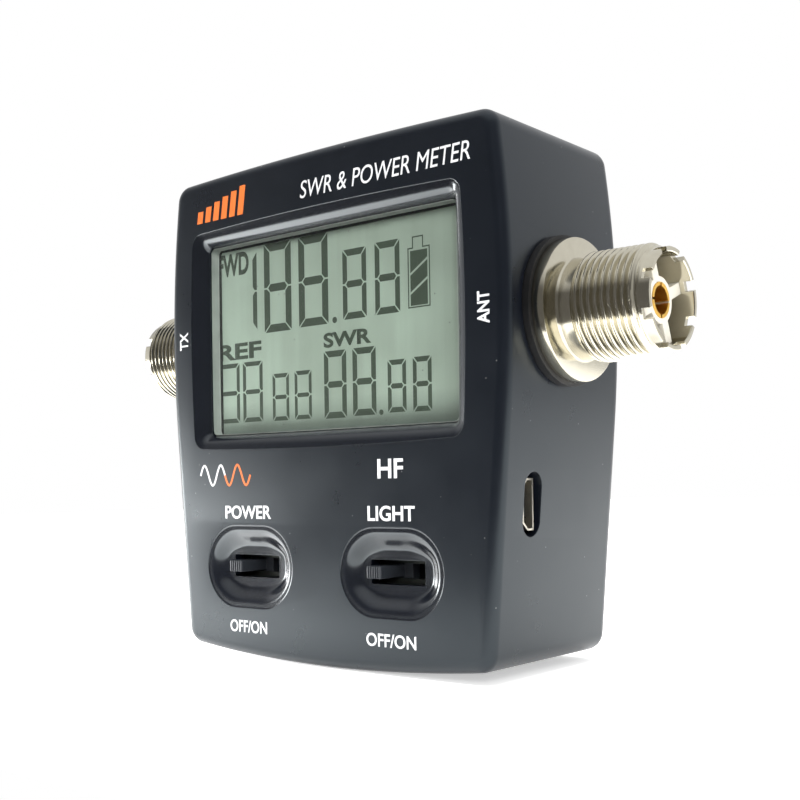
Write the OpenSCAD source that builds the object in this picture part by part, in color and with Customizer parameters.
// Pocket SWR and power meter: a moulded case with a coaxial socket on each side,
// a segment display behind a window, and two slide switches under it.
// X runs from the transmitter socket to the aerial socket, Y from front to back, Z up.
// The origin is on the ground plane, under the middle of the case.

/* [Case] */
// Height of the case from its lowest to its highest point
case_h = 81.2; // [80:0.2:84]
// Depth of the case from its face to its back
case_d = 32; // [32:0.5:34]
// Half of the case's width, at its widest
case_half_w = 35.9; // [35.6:0.1:36.6]
// Height of the sockets' axis, where the case is widest
axis_z = 53.2; // [52.8:0.1:53.6]
// Radius of the side walls' upper curve
side_r = 180; // [170:5:200]
// Inward slope of the side walls' straight lower stretch
side_taper = 0.085; // [0.075:0.005:0.095]
// Radius of the arched top
top_r = 900; // [700:50:1200]
// Radius of the curved underside
bottom_r = 270; // [240:10:320]
// Radius of the outline's four corners; larger than the rounding of the edges
corner_r = 3; // [2.8:0.1:3.4]
// Rounding of the front edges
front_round = 1.8; // [1.2:0.2:2]
// Rounding of the back edges
back_round = 2.6; // [2:0.1:2.7]
// Thickness of the case's walls
wall = 2.3; // [2:0.1:2.4]

/* [Window] */
// How far the display sits to the right of the middle
face_shift = -0.7; // [-0.7:0.1:0.7]
// Half width of the display opening
window_half_w = 26.8; // [25.8:0.1:26.8]
// Half height of the display opening
window_half_h = 16.2; // [15:0.2:16.2]
// Width of the sloping border around the opening
bevel_w = 2.5; // [1.5:0.1:2.6]
// Depth of that border
bevel_d = 2.2; // [1.6:0.1:2.2]
// Thickness of the clear window
lens_t = 1.7; // [1.5:0.1:1.7]

/* [Switches] */
// How far the pair of switches sits to the right of the middle
switch_shift = -1.1; // [-1.2:0.1:-0.7]
// Distance of each switch from the middle of the pair
switch_x = 15.3; // [15:0.1:15.5]
// Height of both switches
switch_z = 15.2; // [15:0.1:16]
// Half width of the finger recess
recess_half_w = 10; // [9.6:0.1:10]
// Radius of the finger recess's ends
recess_r = 6.7; // [6:0.1:6.8]
// Depth of the finger recess
recess_d = 1.8; // [1.4:0.1:1.9]
// Length of the slot for the knob
slot_w = 10.6; // [10.4:0.1:10.8]
// Height of the slot for the knob
slot_h = 3.7; // [3:0.1:4]
// Width of the knob
knob_w = 2.9; // [2.6:0.1:3]
// Height of the knob
knob_h = 1.9; // [1.6:0.1:2]
// Travel of the knob from OFF to ON
travel = 7; // [6:0.1:7]

/* [Sockets] */
// Distance of the sockets' axis behind the front face
axis_depth = 15; // [15:0.1:15.6]
// Major radius of the 5/8-24 thread
thread_r = 7.9375; // [7.9375]
// Length of the threaded stretch
thread_len = 10.1; // [9:0.1:11]
// Length of the plain collar between the flange and the thread
collar_len = 2.6; // [2:0.1:3.2]
// Length of the plain rim
rim_len = 1.8; // [1.4:0.1:2]
// Radius of the flange
flange_r = 10.45; // [10:0.05:11]
// Thickness of the flange
flange_t = 2; // [1.6:0.1:2.2]
// Radius of the bore of the gold contact
contact_bore_r = 2; // [1.99:0.01:2.02]

/* [Charging port] */
// Height of the port's middle
port_z = 25.2; // [24.8:0.1:25.6]
// Length of the slot in the case
port_h = 9.3; // [9:0.1:9.5]
// Width of the slot in the case
port_w = 4.4; // [4.3:0.1:4.6]

/* [Hidden] */

// Curves of the case's outline, in steps
side_steps = 14;
arch_steps = 5;
corner_steps = 5;
round_steps = 6;
corner_rounds = 6;
inner_corner_r = 1.2;
tangent_z = axis_z - side_r * side_taper;
tangent_x = case_half_w - (side_r - sqrt(pow(side_r, 2) - pow(axis_z - tangent_z, 2)));

// Planes from front to back
front_y = -case_d / 2;
back_y = case_d / 2;
face_in_y = front_y + 2.4;
lens_y = front_y + bevel_d;
gasket_y = lens_y + lens_t;
gasket_t = 0.5;
glass_t = 1.1;
lcd_y = gasket_y + gasket_t;
guide_y = lcd_y + 2 * glass_t;
guide_t = 2.5;
board_y = front_y + 9.6;
board_t = 1.6;
board_back_y = board_y + board_t;
axis_y = front_y + axis_depth;
cover_t = 2;
cover_y = back_y - cover_t;
ledge_t = 2;
cover_inset = 3.6;
ledge_inset = 5;
fit_gap = 0.12;

// Display stack
window_corner_r = 0.9;
window_sag = 0.5;
opening_sag = 0.08;
bevel_corner_r = 2.2;
lens_gap = 0.1;
pad_margin = 2.4;
glass_half_w = 28;
glass_top = 17.6;
glass_bottom = 17.9;
glass_ledge = 1.6;
frame_half_w = 29.1;
frame_top = 18.3;
frame_bottom = 20.9;
frame_wall = 0.8;
pin_count = 24;
pin_pitch = 2;

// Fasteners
cover_screw_at = [[28, 74.2], [-28, 74.2], [26.2, 7.6], [-26.2, 7.6]];
boss_r = 2.6;
boss_start_y = board_back_y + 0.6;
cover_screw_r = 1;
cover_head_r = 2.1;
cover_head_t = 1.2;
cover_head_sink = 0.2;
cover_screw_len = 9;
board_screw_at = [[24.5, 29.9], [-24.5, 29.9], [0, 7.2], [0, 74]];
standoff_r = 2;
board_screw_r = 0.9;
board_head_r = 1.8;
board_head_t = 1.3;
board_screw_len = 5;
pilot_gap = 0.05;

// Slide switches
recess_wall_r = recess_r * 0.5;
recess_floor_r = recess_r * 0.42;
recess_floor_back = front_y + 3.7;
switch_half_w = 7.4;
switch_half_h = 3.2;
switch_y = front_y + 5.2;
switch_skin = 0.5;
switch_wall = 0.6;
switch_floor_t = 0.8;
gate_gap = 0.2;
carriage_w = 6.2;
carriage_h = 4.4;
carriage_t = 1.6;
carriage_gap = 0.15;
knob_y = front_y + 0.2;
knob_grooves = 3;
groove_w = 0.28;
groove_d = 0.3;

// Sockets, measured outwards from the middle of the case
seat_x = 35.6;
seat_r = 11.3;
washer_t = 1.2;
washer_r = 11;
flange_x = seat_x + washer_t;
flange_face_x = flange_x + flange_t;
thread_x = flange_face_x + collar_len;
rim_x = thread_x + thread_len;
socket_end_x = rim_x + rim_len;
collar_r = 7.3;
rim_r = 7.15;
thread_chamfer = 0.6;
barrel_r = 7.4;
barrel_x = 29.9;
hole_r = 7.6;
socket_bore_r = 6.4;
socket_floor_x = flange_x + 0.6;
neck_r = 4.4;
inner_pad_x = 33;
lug_t = 0.5;
lug_r = 9.4;
lug_tail = 4;
lug_tail_w = 3;
nut_x = 30.2;
nut_r = 10.2;
notch_count = 8;
notch_w = 1.5;
notch_d = 1.3;
notch_turn = 22.5;
insulator_end_x = socket_end_x - 2;
insulator_r = socket_bore_r - 0.05;
insulator_flange_x = insulator_end_x - 9;
boss_web_r = 3.3;
web_w = 1.7;
web_turn = 22;
contact_r = 2.5;
contact_end_x = insulator_end_x + 0.1;
contact_bore_d = 10;
contact_slit = 0.35;
contact_slit_d = 4;
pin_r = 1.1;
pin_end_x = 27.4;

// Charging port
port_y = front_y + 8.1;
usb_mouth_x = 33.4;
usb_len = 5;
usb_half_h = 3.75;
usb_narrow_half_h = 2.7;
usb_t = 2.8;
usb_skin = 0.3;
usb_floor_t = 0.6;
tongue_half_h = 1.9;

// Coupler
line_r = 0.8;
sleeve_r = 1.3;
toroid_r = 2.9;
toroid_bore_r = 1.4;
toroid_t = 3;
coupler_board_y = axis_y + 3.4;
coupler_half_w = 26;
coupler_low_z = axis_z - 11;
coupler_high_z = axis_z + 13.2;
shield_half_w = 25.2;
shield_half_h = 10.2;
shield_t = 0.3;

$fn = 48;

// ---- Shared shapes ----

function between(a, b, i, n) = a + (b - a) * i / n;

// Half width of the case at a height, and how far the wall there turns up, in degrees
function side_x(z) =
    z > tangent_z
        ? case_half_w - (side_r - sqrt(pow(side_r, 2) - pow(z - axis_z, 2)))
        : tangent_x - side_taper * (tangent_z - z);
function side_turn(z) = z > tangent_z ? asin((z - axis_z) / side_r) : -atan(side_taper);

// Height of the arched top, and of the curved underside, at a distance from the middle
function top_z(x) = case_h - (top_r - sqrt(pow(top_r, 2) - pow(x, 2)));
function bottom_z(x) = bottom_r - sqrt(pow(bottom_r, 2) - pow(x, 2));

// Where the normals of a side and of the top or underside meet, k inside both, found by
// going round between the two
function corner_centre(k, up, c = undef, n = corner_rounds) =
    n == 0
        ? c
        : let (
            z = is_undef(c) ? (up ? case_h - k : k) : c[1],
            turn = side_turn(z),
            x = side_x(z + k * sin(turn)) - k * cos(turn),
            lean = asin(x / (up ? top_r : bottom_r)),
            edge_x = x + k * sin(lean),
            edge_z = up ? top_z(edge_x) - k * cos(lean) : bottom_z(edge_x) + k * cos(lean)
        ) corner_centre(k, up, [x, edge_z], n - 1);

// The right half of the case's outline in X and Z, moved inwards by inset, from the middle of
// the underside to the middle of the top, with corners of radius r
function half_outline(inset, r) =
    let (
        k = inset + r,
        low = corner_centre(k, false),
        high = corner_centre(k, true),
        low_lean = asin(low[0] / (bottom_r - k)),
        high_lean = asin(high[0] / (top_r - k)),
        low_turn = side_turn(low[1]),
        high_turn = side_turn(high[1]),
        low_z = low[1] + k * sin(low_turn),
        high_z = high[1] + k * sin(high_turn)
    ) concat(
        [for (i = [0:arch_steps])
            let (a = between(0, low_lean, i, arch_steps))
                [(bottom_r - inset) * sin(a), bottom_r - (bottom_r - inset) * cos(a)]],
        [for (i = [1:corner_steps - 1])
            let (a = between(low_lean - 90, low_turn, i, corner_steps))
                low + r * [cos(a), sin(a)]],
        [for (i = [0:side_steps])
            let (z = between(low_z, high_z, i, side_steps), a = side_turn(z))
                [side_x(z) - inset * cos(a), z - inset * sin(a)]],
        [for (i = [1:corner_steps - 1])
            let (a = between(high_turn, 90 - high_lean, i, corner_steps))
                high + r * [cos(a), sin(a)]],
        [for (i = [0:arch_steps])
            let (a = between(high_lean, 0, i, arch_steps))
                [(top_r - inset) * sin(a), case_h - top_r + (top_r - inset) * cos(a)]]
    );

// A half outline, closed with its mirror image on the left
function closed(half) = concat(half, [for (i = [len(half) - 2:-1:1]) [-half[i][0], half[i][1]]]);

// The case seen from the front, drawn in X and Z and moved inwards by inset
module case_outline(inset) {
    polygon(closed(half_outline(inset, inner_corner_r)));
}

// The right half of a rectangle whose edges bow outwards by sag, with rounded corners
function half_bowed_rect(half_w, half_h, r, sag) =
    let (
        x = half_w - sag - r,
        z = half_h - sag - r,
        quarter = concat(
            [for (i = [0:arch_steps]) let (t = i / arch_steps) [half_w - sag * t * t, z * t]],
            [for (i = [1:corner_steps]) let (a = 90 * i / corner_steps) [x + r * cos(a), z + r * sin(a)]],
            [for (i = [1:arch_steps]) let (t = 1 - i / arch_steps) [x * t, half_h - sag * t * t]]
        )
    ) concat([for (i = [len(quarter) - 1:-1:1]) [quarter[i][0], -quarter[i][1]]], quarter);

// A solid through outlines in X and Z, each with the same number of points; layers holds
// a y and an outline for each, from front to back
module loft(layers) {
    n = len(layers[0][1]);
    last = (len(layers) - 1) * n;
    polyhedron(
        points = [for (layer = layers, p = layer[1]) [p[0], layer[0], p[1]]],
        faces = concat(
            [[for (i = [n - 1:-1:0]) i]],
            [for (k = [0:len(layers) - 2], i = [0:n - 1])
                let (a = k * n + i, b = k * n + (i + 1) % n) [a, b, b + n, a + n]],
            [[for (i = [0:n - 1]) last + i]]
        ),
        convexity = 4
    );
}

// A drawing in X and Z given a thickness along Y, from y towards the back
module plate(y, t) {
    translate([0, y + t, 0])
        rotate([90, 0, 0])
            linear_extrude(t)
                children();
}

// A shape built along its own Z, laid along Y from the point x, y, z towards the back
module backwards(x, y, z) {
    translate([x, y, z])
        rotate([-90, 0, 0])
            children();
}

// A box given by its low and high corners
module box(low, high) {
    translate(low)
        cube(high - low);
}

// A shape built along its own Z, laid along the sockets' axis: side is 1 or -1
module on_axis(side) {
    mirror([side < 0 ? 1 : 0, 0, 0])
        translate([0, axis_y, axis_z])
            rotate([0, 90, 0])
                children();
}

// A cylinder between two distances along its own Z
module disc(z0, z1, r) {
    translate([0, 0, z0])
        cylinder(h = z1 - z0, r = r);
}

module ring(z0, z1, r_out, r_in) {
    difference() {
        disc(z0, z1, r_out);
        disc(z0 - 1, z1 + 1, r_in);
    }
}

// A round bar between two points, with a slightly larger ball at each end
module wire(a, b, r) {
    d = b - a;
    turn = atan2(d[1], d[0]);
    tilt = acos(d[2] / norm(d));
    translate(a)
        rotate([0, tilt, turn])
            cylinder(h = norm(d), r = r);
    for (end = [a, b])
        translate(end)
            sphere(r = r * 1.15);
}

// ---- Case ----

// The solid block of the case, with rounded front and back edges
module case_block() {
    turns = [for (i = [0:round_steps]) 90 * i / round_steps];
    function layer(y, inset) = [y, closed(half_outline(inset, corner_r - inset))];
    loft(concat(
        [for (a = turns) layer(front_y + front_round * (1 - cos(a)), front_round * (1 - sin(a)))],
        [for (a = turns) layer(back_y - back_round * (1 - sin(a)), back_round * (1 - cos(a)))]
    ));
}

// The finger recess: long sloping walls down to a small flat floor
module recess_cutter() {
    hull() {
        for (x = [-1, 1]) {
            backwards(x * (recess_half_w - recess_r), front_y - 0.5, 0)
                rotate_extrude($fn = 40)
                    polygon([
                        [0, 0],
                        [recess_r, 0],
                        [recess_r, 0.5],
                        [recess_wall_r, 0.5 + recess_d * 0.9],
                        [recess_floor_r, 0.5 + recess_d],
                        [0, 0.5 + recess_d]
                    ]);
        }
    }
}

module window_cutter() {
    slope = bevel_w / bevel_d;
    mouth_half_w = window_half_w + bevel_w + slope;
    mouth_half_h = window_half_h + bevel_w + slope;
    translate([face_shift, 0, axis_z]) {
        loft([
            [front_y - 1, closed(half_bowed_rect(mouth_half_w, mouth_half_h, bevel_corner_r, window_sag))],
            [lens_y, closed(half_bowed_rect(window_half_w, window_half_h, window_corner_r, opening_sag))]
        ]);
        plate(lens_y - 0.01, lens_t + 1)
            polygon(closed(half_bowed_rect(window_half_w, window_half_h, window_corner_r, opening_sag)));
    }
}

// A rectangle with semicircular ends that stands upright on the right wall
module port_cutter() {
    half_straight = (port_h - port_w) / 2;
    for (z = [-half_straight, half_straight])
        translate([case_half_w - 6, port_y, port_z + z])
            rotate([0, 90, 0])
                cylinder(h = 8, d = port_w);
    box([case_half_w - 6, port_y - port_w / 2, port_z - half_straight],
        [case_half_w + 2, port_y + port_w / 2, port_z + half_straight]);
}

// A post for a cover screw, with a web to the side wall
module cover_boss(x, z) {
    side = sign(x);
    backwards(x, boss_start_y, z)
        cylinder(h = cover_y - boss_start_y, r = boss_r);
    translate([x, boss_start_y, z - 1])
        mirror([side < 0 ? 1 : 0, 0, 0])
            cube([side_x(z) - abs(x) - 1, cover_y - boss_start_y, 2]);
}

module front_shell() {
    color("#23272f")
        difference() {
            union() {
                difference() {
                    case_block();
                    plate(face_in_y, cover_y - ledge_t - face_in_y)
                        case_outline(wall);
                    plate(face_in_y, case_d)
                        case_outline(ledge_inset);
                    plate(cover_y, case_d)
                        case_outline(cover_inset);
                }
                // Frame that carries the clear window
                translate([face_shift, 0, axis_z])
                    plate(face_in_y - 0.1, gasket_y - face_in_y + 0.1)
                        square(2 * [window_half_w + pad_margin, window_half_h + pad_margin], center = true);
                // Thicker floor behind each finger recess
                for (side = [-1, 1])
                    translate([switch_shift + side * switch_x, 0, switch_z])
                        plate(face_in_y - 0.1, recess_floor_back - face_in_y + 0.1)
                            square([2 * recess_half_w, 2 * recess_r], center = true);
                // Flat inner seats for the sockets' nuts
                for (side = [-1, 1])
                    on_axis(side)
                        disc(inner_pad_x, seat_x - 0.5, seat_r);
                for (at = cover_screw_at)
                    cover_boss(at[0], at[1]);
                for (at = board_screw_at)
                    backwards(at[0], face_in_y - 0.1, at[1])
                        cylinder(h = board_y - face_in_y + 0.1, r = standoff_r);
            }
            window_cutter();
            for (side = [-1, 1]) {
                translate([switch_shift + side * switch_x, 0, switch_z]) {
                    recess_cutter();
                    box([-slot_w / 2, front_y, -slot_h / 2], [slot_w / 2, recess_floor_back + 1, slot_h / 2]);
                }
                on_axis(side) {
                    disc(inner_pad_x - 1, seat_x + 1, hole_r);
                    disc(seat_x, seat_x + 2, seat_r);
                }
            }
            port_cutter();
            for (at = cover_screw_at)
                backwards(at[0], cover_y - cover_screw_len, at[1])
                    cylinder(h = cover_screw_len + 1, r = cover_screw_r + pilot_gap);
            for (at = board_screw_at)
                backwards(at[0], board_y - board_screw_len, at[1])
                    cylinder(h = board_screw_len + 1, r = board_screw_r + pilot_gap);
        }
}

module rear_cover() {
    sink_slope = (cover_head_r - cover_screw_r) / cover_head_t;
    sink_r = cover_screw_r + pilot_gap + fit_gap;
    sink_d = cover_head_t + 2 * cover_head_sink;
    color("#23272f")
        difference() {
            plate(cover_y, cover_t)
                case_outline(cover_inset + fit_gap);
            for (at = cover_screw_at)
                backwards(at[0], back_y, at[1]) {
                    disc(-cover_t - 1, 1, sink_r);
                    translate([0, 0, -cover_head_sink - cover_head_t])
                        cylinder(h = sink_d, r1 = sink_r, r2 = sink_r + sink_slope * sink_d);
                }
        }
}

// A cross-head drive, cut down from z = 0
module cross_drive(w, depth) {
    for (turn = [0, 90])
        rotate(turn)
            translate([-w, -w / 6, -depth])
                cube([2 * w, w / 3, depth + 1]);
}

module cover_screws() {
    color("#2b2b2d")
        for (at = cover_screw_at)
            backwards(at[0], back_y - cover_head_sink, at[1])
                difference() {
                    union() {
                        translate([0, 0, -cover_head_t])
                            cylinder(h = cover_head_t, r1 = cover_screw_r, r2 = cover_head_r);
                        disc(-cover_screw_len, -cover_head_t, cover_screw_r);
                    }
                    cross_drive(1.2, 0.8);
                }
}

// ---- Display ----

// A rectangle in X and Z about the middle of the display, given a thickness
module display_plate(half_w, low, high, y, t) {
    plate(y, t)
        translate([face_shift - half_w, axis_z - low])
            square([2 * half_w, low + high]);
}

module window_lens() {
    color("#d5dbd8", 0.35)
        translate([face_shift, 0, axis_z])
            plate(lens_y, lens_t)
                polygon(closed(half_bowed_rect(
                    window_half_w - lens_gap, window_half_h - lens_gap, window_corner_r, opening_sag)));
}

module lens_gasket() {
    color("#17181a")
        difference() {
            display_plate(glass_half_w, glass_bottom, glass_top, gasket_y, gasket_t);
            display_plate(window_half_w, window_half_h, window_half_h, gasket_y - 1, gasket_t + 2);
        }
}

module lcd_front_glass() {
    color("#a5b4a5")
        display_plate(glass_half_w, glass_bottom, glass_top, lcd_y, glass_t);
}

module lcd_rear_glass() {
    color("#9cab9c")
        display_plate(glass_half_w, glass_bottom + glass_ledge, glass_top, lcd_y + glass_t, glass_t);
}

module lcd_frame() {
    color("#2a2c2e")
        difference() {
            display_plate(frame_half_w, frame_bottom, frame_top, gasket_y + 0.1, board_y - gasket_y - 0.1);
            display_plate(frame_half_w - frame_wall, frame_bottom - frame_wall, frame_top - 0.6,
                gasket_y - 1, board_y - gasket_y + 2);
        }
}

module lcd_pins() {
    pin_z = axis_z - glass_bottom - glass_ledge;
    color("#c9cacb")
        for (i = [0:pin_count - 1])
            translate([face_shift + (i - (pin_count - 1) / 2) * pin_pitch, 0, pin_z])
                union() {
                    box([-0.25, lcd_y + 0.6, -0.4], [0.25, board_y, -0.15]);
                    box([-0.25, lcd_y + 0.6, -0.4], [0.25, lcd_y + glass_t - 0.05, 1.2]);
                }
}

module backlight_guide() {
    color("#eef3ee")
        display_plate(glass_half_w - 0.4, glass_bottom - 0.4, glass_top - 2.2, guide_y, guide_t);
}

module backlight_leds() {
    color("#f4f2d8")
        for (x = [-18, 0, 18])
            translate([face_shift + x, 0, axis_z + glass_top])
                box([-1.8, guide_y + 0.6, -2], [1.8, board_y, -0.6]);
}

// ---- Main board and what it carries ----

module main_board() {
    // Stepped in at the corners, around the posts for the cover's screws
    half_board = [
        [23.2, 4.9], [23.2, 10.8], [27.2, 10.8], [28.5, 30], [28.5, 70.9], [24.8, 70.9], [24.8, 76.4]
    ];
    color("#1f5a36")
        difference() {
            plate(board_y, board_t)
                polygon(concat(
                    half_board,
                    [for (i = [len(half_board) - 1:-1:0]) [-half_board[i][0], half_board[i][1]]]
                ));
            for (at = board_screw_at)
                backwards(at[0], board_y - 1, at[1])
                    cylinder(h = board_t + 2, r = board_screw_r + 0.2);
        }
}

module board_screws() {
    color("#c4c6c8")
        for (at = board_screw_at)
            backwards(at[0], board_back_y, at[1])
                difference() {
                    union() {
                        disc(-board_screw_len, 0, board_screw_r);
                        disc(0, board_head_t, board_head_r);
                    }
                    translate([0, 0, board_head_t])
                        cross_drive(1, 0.7);
                }
}

// A flat chip on the back of the main board, with legs along two sides
module chip(x, z, w, h, t, legs) {
    box([x - w / 2, board_back_y + 0.1, z - h / 2], [x + w / 2, board_back_y + t, z + h / 2]);
    for (i = [0:legs - 1], side = [0, 180])
        translate([x + (i - (legs - 1) / 2) * (w - 0.6) / legs, 0, z])
            rotate([0, side, 0])
                box([-0.15, board_back_y, h / 2 - 0.1], [0.15, board_back_y + 0.5, h / 2 + 0.6]);
}

module microcontroller() {
    color("#1c1d1f")
        chip(-11, 69.6, 10, 7, 1.4, 12);
}

module charge_chip() {
    color("#1c1d1f")
        chip(17, 38.6, 5, 4, 1.4, 4);
}

module board_parts() {
    color("#b59a6a") {
        for (i = [0:4])
            translate([4 + 3.2 * i, 0, 69])
                box([-1, board_back_y, -0.6], [1, board_back_y + 0.7, 0.6]);
        for (i = [0:3])
            translate([-20 + 4 * i, 0, 38.6])
                box([-1, board_back_y, -0.6], [1, board_back_y + 0.7, 0.6]);
    }
    color("#8d9296")
        backwards(22, board_back_y, 69)
            cylinder(h = 2.4, r = 1.6);
}

// ---- Slide switches ----

module switch_body(x) {
    inner_half_w = switch_half_w - switch_wall;
    inner_half_h = switch_half_h - switch_wall;
    gate_half_w = (knob_w + travel) / 2 + gate_gap;
    gate_half_h = knob_h / 2 + gate_gap;
    color("#2a2d2b")
        translate([x, 0, switch_z])
            difference() {
                box([-switch_half_w, switch_y, -switch_half_h], [switch_half_w, board_y, switch_half_h]);
                box([-inner_half_w, switch_y + switch_skin, -inner_half_h],
                    [inner_half_w, board_y - switch_floor_t, inner_half_h]);
                box([-gate_half_w, switch_y - 1, -gate_half_h], [gate_half_w, switch_y + 1, gate_half_h]);
            }
}

// The grooved knob, at OFF, on the carriage that slides inside the switch
module switch_knob(x) {
    carriage_y = switch_y + switch_skin + carriage_gap;
    pitch = knob_w / (knob_grooves + 1);
    color("#34373c")
        translate([x - travel / 2, 0, switch_z]) {
            difference() {
                box([-knob_w / 2, knob_y, -knob_h / 2], [knob_w / 2, carriage_y, knob_h / 2]);
                for (i = [1:knob_grooves])
                    translate([-knob_w / 2 + i * pitch, 0, 0])
                        box([-groove_w / 2, knob_y - 1, -knob_h], [groove_w / 2, knob_y + groove_d, knob_h]);
            }
            box([-carriage_w / 2, carriage_y, -carriage_h / 2],
                [carriage_w / 2, carriage_y + carriage_t, carriage_h / 2]);
        }
}

module power_switch_body() {
    switch_body(switch_shift - switch_x);
}

module power_switch_knob() {
    switch_knob(switch_shift - switch_x);
}

module light_switch_body() {
    switch_body(switch_shift + switch_x);
}

module light_switch_knob() {
    switch_knob(switch_shift + switch_x);
}

// ---- Charging port ----

// The mouth's outline seen from the right: narrow towards the front, wide at the board
module usb_outline(inset) {
    half_wide = usb_half_h - inset;
    half_narrow = usb_narrow_half_h - inset * 0.7;
    t = usb_t - 2 * inset;
    translate([0, inset])
        polygon([[-half_narrow, 0], [half_narrow, 0], [half_wide, t * 0.45], [half_wide, t], [-half_wide, t],
            [-half_wide, t * 0.45]]);
}

// A drawing in Z and Y, stood on the right wall between two distances from the middle
module rightwards(x0, x1) {
    translate([x0, port_y - usb_t / 2, port_z])
        rotate([0, 90, 0])
            linear_extrude(x1 - x0)
                children();
}

module usb_shell() {
    color("#cfcdb8")
        difference() {
            rightwards(usb_mouth_x - usb_len, usb_mouth_x)
                usb_outline(0);
            rightwards(usb_mouth_x - usb_len + usb_floor_t, usb_mouth_x + 1)
                usb_outline(usb_skin);
        }
}

module usb_tongue() {
    color("#1a1a1c")
        box([usb_mouth_x - usb_len + usb_floor_t, port_y - 0.35, port_z - tongue_half_h],
            [usb_mouth_x - 0.8, port_y + 0.25, port_z + tongue_half_h]);
}

// ---- Battery ----

module battery_tape() {
    color("#e8e4da")
        box([-16, board_back_y, 12], [16, board_back_y + 0.4, 33]);
}

module battery_cell() {
    color("#c3c8cc") {
        box([-20, board_back_y + 0.4, 10.6], [20, board_back_y + 5.8, 33.4]);
        box([-20, board_back_y + 1.6, 33.4], [20, board_back_y + 4.4, 35.6]);
    }
}

module battery_socket() {
    color("#f1efe6")
        difference() {
            box([-27, board_back_y, 17], [-22.6, board_back_y + 4, 23.4]);
            box([-26.4, board_back_y + 0.6, 18.4], [-23.2, board_back_y + 3.4, 24]);
        }
}

module battery_leads() {
    lead_r = 0.5;
    lead_y = board_back_y + 3;
    for (i = [0, 1])
        color(i == 0 ? "#b32020" : "#1d1d1f") {
            socket_x = -25.6 + 1.6 * i;
            turn_z = 37.4 - 1.2 * i;
            tab_x = -13.6 - 2.4 * i;
            wire([socket_x, board_back_y + 2, 19.4], [socket_x, board_back_y + 2, 30], lead_r);
            wire([socket_x, board_back_y + 2, 30], [socket_x, lead_y, turn_z], lead_r);
            wire([socket_x, lead_y, turn_z], [tab_x, lead_y, turn_z], lead_r);
            wire([tab_x, lead_y, turn_z], [tab_x, lead_y, 36.2], lead_r);
        }
}

// ---- Coaxial sockets ----

module socket_shell(side) {
    color("#c8c3b4")
        on_axis(side)
            difference() {
                union() {
                    disc(barrel_x, flange_x + 0.1, barrel_r);
                    disc(flange_x, flange_face_x, flange_r);
                    disc(flange_face_x, thread_x, collar_r);
                    translate([0, 0, thread_x - thread_chamfer])
                        cylinder(h = thread_chamfer, r1 = collar_r, r2 = thread_r);
                    disc(thread_x, rim_x, thread_r);
                    translate([0, 0, rim_x])
                        cylinder(h = thread_chamfer, r1 = thread_r, r2 = rim_r);
                    disc(rim_x, socket_end_x, rim_r);
                }
                disc(socket_floor_x, socket_end_x + 1, socket_bore_r);
                disc(barrel_x - 1, socket_floor_x + 1, neck_r);
                for (i = [0:notch_count - 1])
                    rotate(notch_turn + i * 360 / notch_count)
                        translate([socket_bore_r - 1, -notch_w / 2, socket_end_x - notch_d])
                            cube([rim_r - socket_bore_r + 2, notch_w, notch_d + 1]);
            }
}

// The insulator: a plug with a hub around the contact and four ribs out to the shell
module insulator(side) {
    color("#e4e0d2")
        on_axis(side)
            difference() {
                union() {
                    disc(barrel_x, socket_floor_x, neck_r - 0.05);
                    disc(socket_floor_x, insulator_flange_x, insulator_r);
                    disc(insulator_flange_x - 1, insulator_end_x, boss_web_r);
                    intersection() {
                        disc(insulator_flange_x - 1, insulator_end_x, insulator_r);
                        for (turn = [0, 90])
                            rotate(turn + web_turn)
                                translate([-insulator_r, -web_w / 2, 0])
                                    cube([2 * insulator_r, web_w, insulator_end_x]);
                    }
                }
                disc(barrel_x - 1, insulator_end_x + 1, contact_r + 0.02);
            }
}

module contact(side) {
    color("#c98f2c")
        on_axis(side)
            difference() {
                union() {
                    disc(barrel_x, contact_end_x, contact_r);
                    disc(pin_end_x, barrel_x, pin_r);
                }
                disc(contact_end_x - contact_bore_d, contact_end_x + 1, contact_bore_r);
                for (turn = [0, 90])
                    rotate(turn)
                        translate([-contact_r - 1, -contact_slit / 2, contact_end_x - contact_slit_d])
                            cube([2 * contact_r + 2, contact_slit, contact_slit_d + 1]);
            }
}

module washer(side) {
    color("#141517")
        on_axis(side)
            ring(seat_x, flange_x, washer_r, hole_r);
}

module nut(side) {
    color("#c2c4c4")
        on_axis(side)
            difference() {
                translate([0, 0, nut_x])
                    cylinder(h = inner_pad_x - lug_t - nut_x, r = nut_r, $fn = 6);
                disc(0, seat_x, barrel_r + 0.05);
            }
}

module ground_lug(side) {
    color("#c9c5b6")
        on_axis(side)
            difference() {
                union() {
                    disc(inner_pad_x - lug_t, inner_pad_x, lug_r);
                    translate([lug_r - 1.4, -lug_tail_w / 2, inner_pad_x - lug_t])
                        cube([lug_tail, lug_tail_w, lug_t]);
                }
                disc(0, seat_x, barrel_r + 0.1);
            }
}

module ant_socket_shell() {
    socket_shell(1);
}

module ant_insulator() {
    insulator(1);
}

module ant_contact() {
    contact(1);
}

module ant_washer() {
    washer(1);
}

module ant_nut() {
    nut(1);
}

module ant_ground_lug() {
    ground_lug(1);
}

module tx_socket_shell() {
    socket_shell(-1);
}

module tx_insulator() {
    insulator(-1);
}

module tx_contact() {
    contact(-1);
}

module tx_washer() {
    washer(-1);
}

module tx_nut() {
    nut(-1);
}

module tx_ground_lug() {
    ground_lug(-1);
}

// ---- Directional coupler between the sockets ----

module through_line() {
    color("#b87333")
        on_axis(1)
            disc(-pin_end_x, pin_end_x, line_r);
}

module line_sleeve() {
    color("#f0f0ea")
        on_axis(1)
            ring(-20, 20, sleeve_r, line_r + 0.02);
}

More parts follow.
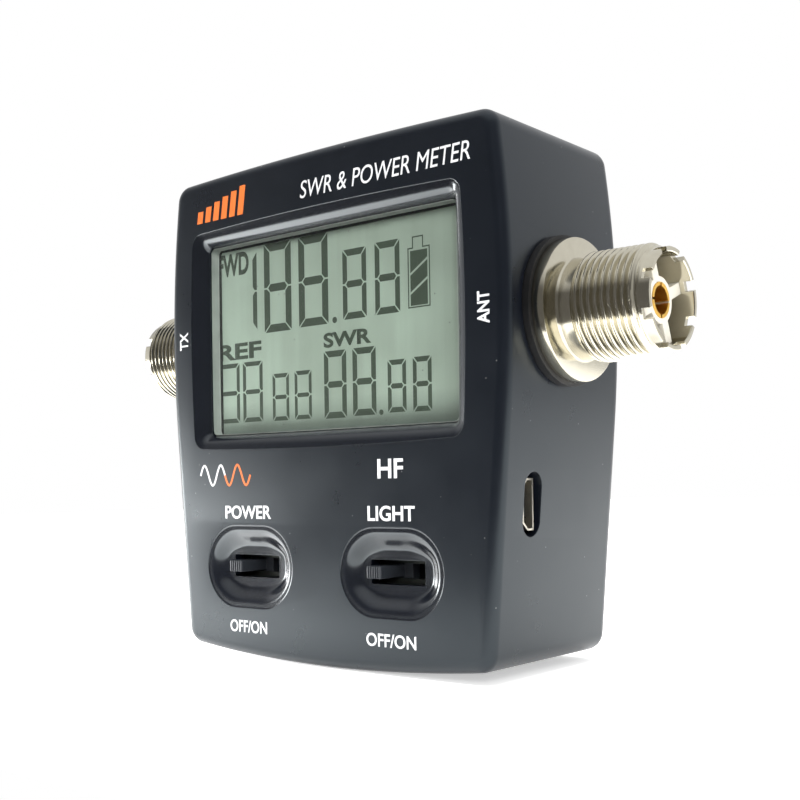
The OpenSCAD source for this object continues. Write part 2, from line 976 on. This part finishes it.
module sense_toroids() {
    color("#6d7f3a")
        for (side = [-1, 1])
            on_axis(side)
                ring(9, 9 + toroid_t, toroid_r, toroid_bore_r);
}

module coupler_board() {
    color("#1f5a36")
        box([-coupler_half_w, coupler_board_y, coupler_low_z],
            [coupler_half_w, coupler_board_y + board_t, coupler_high_z]);
}

module coupler_shield() {
    color("#b9bcbb")
        difference() {
            box([-shield_half_w, board_back_y, axis_z - shield_half_h],
                [shield_half_w, coupler_board_y, axis_z + shield_half_h]);
            box([-shield_half_w + shield_t, board_back_y + shield_t, axis_z - shield_half_h + shield_t],
                [shield_half_w - shield_t, coupler_board_y + 1, axis_z + shield_half_h - shield_t]);
            on_axis(1)
                disc(-shield_half_w - 1, shield_half_w + 1, sleeve_r + 0.4);
        }
}

module coupler_parts() {
    color("#a33b2a")
        for (side = [-1, 1], i = [0:2])
            translate([side * 10, coupler_board_y - 0.9, axis_z + 4 + 1.8 * i])
                rotate([0, 90, 0])
                    cylinder(h = 3.6, r = 0.8, center = true, $fn = 24);
    color("#b59a6a")
        for (side = [-1, 1], i = [0:2])
            translate([side * (6 + 4 * i), 0, axis_z - 6])
                box([-1, coupler_board_y - 0.8, -0.6], [1, coupler_board_y, 0.6]);
}

module board_link_pins() {
    color("#c9b06a")
        for (i = [0:3])
            backwards(2.54 * (i - 1.5), board_back_y, axis_z + 11.8)
                cylinder(h = coupler_board_y - board_back_y, r = 0.32, $fn = 24);
}

front_shell();
rear_cover();
cover_screws();
window_lens();
lens_gasket();
lcd_front_glass();
lcd_rear_glass();
lcd_frame();
lcd_pins();
backlight_guide();
backlight_leds();
main_board();
board_screws();
microcontroller();
charge_chip();
board_parts();
power_switch_body();
power_switch_knob();
light_switch_body();
light_switch_knob();
usb_shell();
usb_tongue();
battery_cell();
battery_tape();
battery_socket();
battery_leads();
ant_socket_shell();
ant_insulator();
ant_contact();
ant_washer();
ant_nut();
ant_ground_lug();
tx_socket_shell();
tx_insulator();
tx_contact();
tx_washer();
tx_nut();
tx_ground_lug();
through_line();
line_sleeve();
sense_toroids();
coupler_board();
coupler_shield();
coupler_parts();
board_link_pins();
